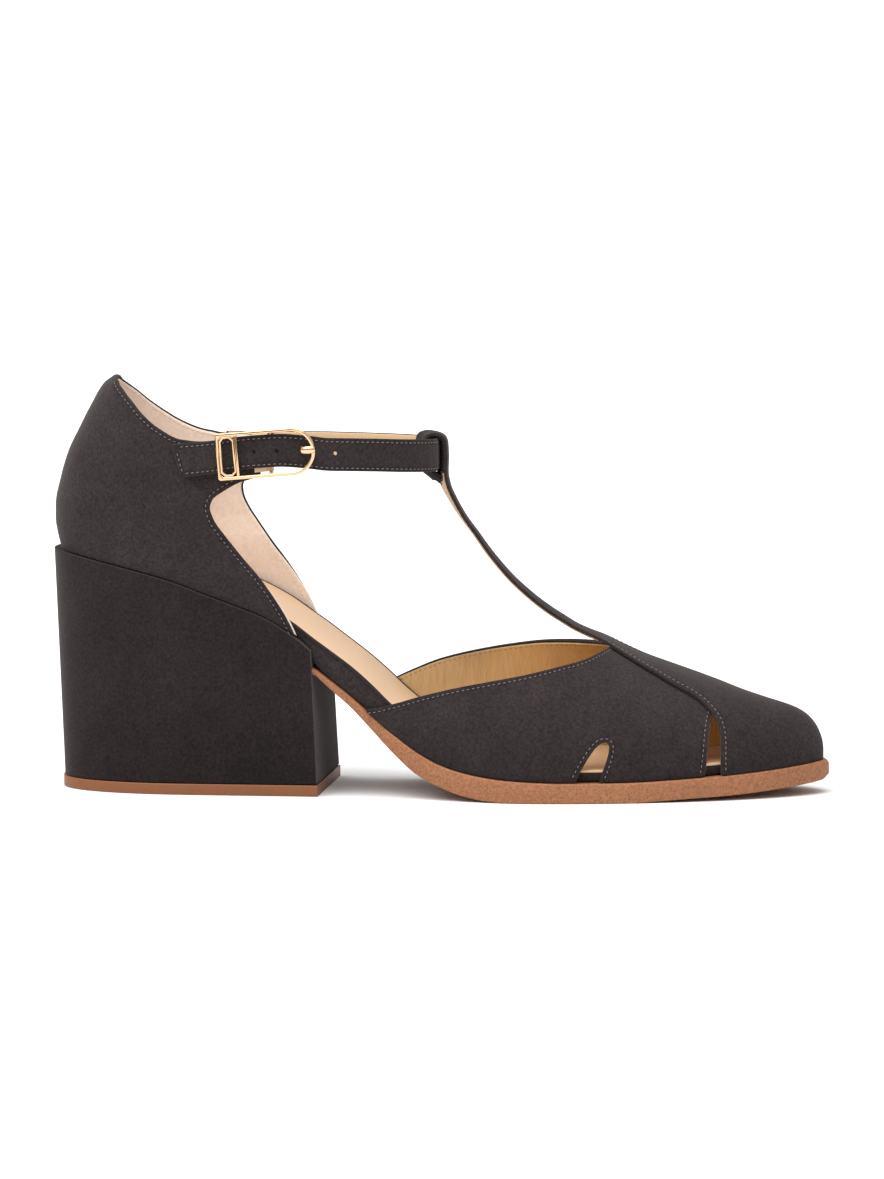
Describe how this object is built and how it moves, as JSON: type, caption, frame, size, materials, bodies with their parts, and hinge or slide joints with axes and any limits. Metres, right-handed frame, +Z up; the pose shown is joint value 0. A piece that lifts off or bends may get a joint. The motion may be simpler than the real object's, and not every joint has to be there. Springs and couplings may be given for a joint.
{
  "type": "t strap shoe",
  "caption": "Block-heeled t strap pump for the right foot, with a closed pointed toe, open sides, a closed heel counter and a buckled ankle strap through the t strap's loop.",
  "frame": {"origin": "centre of the shoe's box in plan, on the floor plane that heel and forefoot rest on", "axes": "+X along the foot towards the toe, +Y towards the medial side (the wearer's other foot), +Z up"},
  "size_m": [0.2444, 0.0774, 0.13],
  "materials": {
    "dark_suede": "napped suede, matte",
    "sole_leather": "grainy cut leather edge, semi-matte",
    "sock_leather": "smooth lining leather",
    "polished_gold": "polished rose gold plate"
  },
  "bodies": {
    "root": {"outsole": "sole_leather", "heel_top_piece": "sole_leather", "heel_block": "dark_suede", "insole_rand": "dark_suede", "sock_lining": "sock_leather", "vamp": "dark_suede", "toe_panel_t_strap": "dark_suede", "heel_counter": "dark_suede", "ankle_strap": "dark_suede", "buckle_frame": "polished_gold", "buckle_prong": "polished_gold"}
  },
  "joints": []
}
